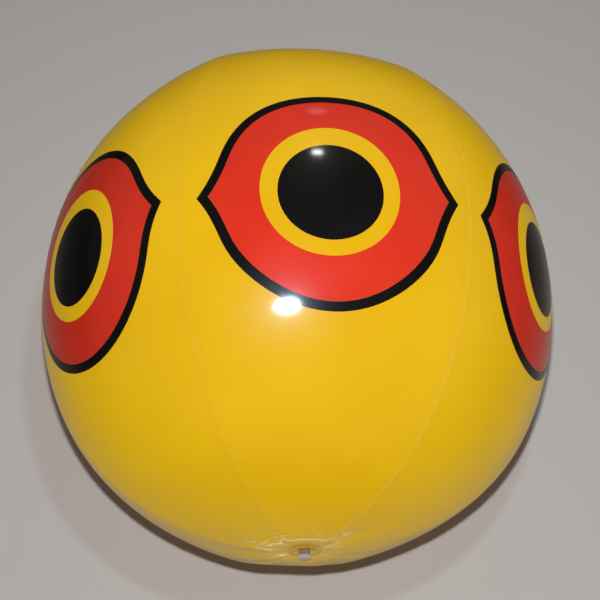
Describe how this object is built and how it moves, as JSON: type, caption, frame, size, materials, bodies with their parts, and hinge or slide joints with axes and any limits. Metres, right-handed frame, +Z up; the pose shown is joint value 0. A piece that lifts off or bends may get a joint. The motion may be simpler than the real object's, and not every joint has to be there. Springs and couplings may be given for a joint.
{
  "type": "bird scare balloon",
  "caption": "Inflated vinyl ball of welded gores, each printed with a large predator eye, with a hanging tab on top and a push-in air valve underneath.",
  "frame": {"origin": "centre of the hole in the hanging tab, from which the balloon hangs", "axes": "+Z up along the ball's axis, from the valve to the hanging tab; eye 1 faces -Y; the hole runs along Y"},
  "size_m": [0.402, 0.401, 0.4341],
  "materials": {
    "yellow_vinyl": "smooth glossy soft vinyl film",
    "red_ink": "glossy screen-printed ink on vinyl",
    "black_ink": "glossy screen-printed ink on vinyl",
    "clear_vinyl": "translucent moulded soft vinyl"
  },
  "bodies": {
    "balloon": {"gore_1": "yellow_vinyl", "gore_2": "yellow_vinyl", "gore_3": "yellow_vinyl", "gore_4": "yellow_vinyl", "gore_5": "yellow_vinyl", "gore_6": "yellow_vinyl", "eye_1_pupil": "black_ink", "eye_1_field": "red_ink", "eye_1_outline": "black_ink", "eye_2_pupil": "black_ink", "eye_2_field": "red_ink", "eye_2_outline": "black_ink", "eye_3_pupil": "black_ink", "eye_3_field": "red_ink", "eye_3_outline": "black_ink", "eye_4_pupil": "black_ink", "eye_4_field": "red_ink", "eye_4_outline": "black_ink", "eye_5_pupil": "black_ink", "eye_5_field": "red_ink", "eye_5_outline": "black_ink", "eye_6_pupil": "black_ink", "eye_6_field": "red_ink", "eye_6_outline": "black_ink", "top_patch": "yellow_vinyl", "bottom_patch": "yellow_vinyl", "tab_foot": "clear_vinyl", "valve_flange": "clear_vinyl", "valve_skirt": "clear_vinyl"},
    "tab": {"hang_tab": "clear_vinyl"},
    "valve": {"valve_stem": "clear_vinyl", "plug_strap": "clear_vinyl"},
    "flap": {"valve_flap": "clear_vinyl"},
    "plug": {"valve_plug": "clear_vinyl"}
  },
  "joints": [
    {"name": "tab_fold", "type": "hinge", "parent": "balloon", "child": "tab", "pos_m": [0, 0, -0.015], "axis": [1, 0, 0], "range_deg": [-75, 75], "stiffness_Nm_per_rad": 0.002},
    {"name": "valve_push", "type": "slide", "parent": "balloon", "child": "valve", "axis": [0, 0, 1], "range_m": [-0.004, 0.0043], "deforming": ["valve_skirt"]},
    {"name": "flap_open", "type": "hinge", "parent": "valve", "child": "flap", "pos_m": [0, 0.00425, -0.41168], "axis": [-1, 0, 0], "range_deg": [0, 60]},
    {"name": "plug_pull", "type": "slide", "parent": "valve", "child": "plug", "axis": [0, 0, -1], "range_m": [0, 0.008], "deforming": ["plug_strap"]}
  ]
}
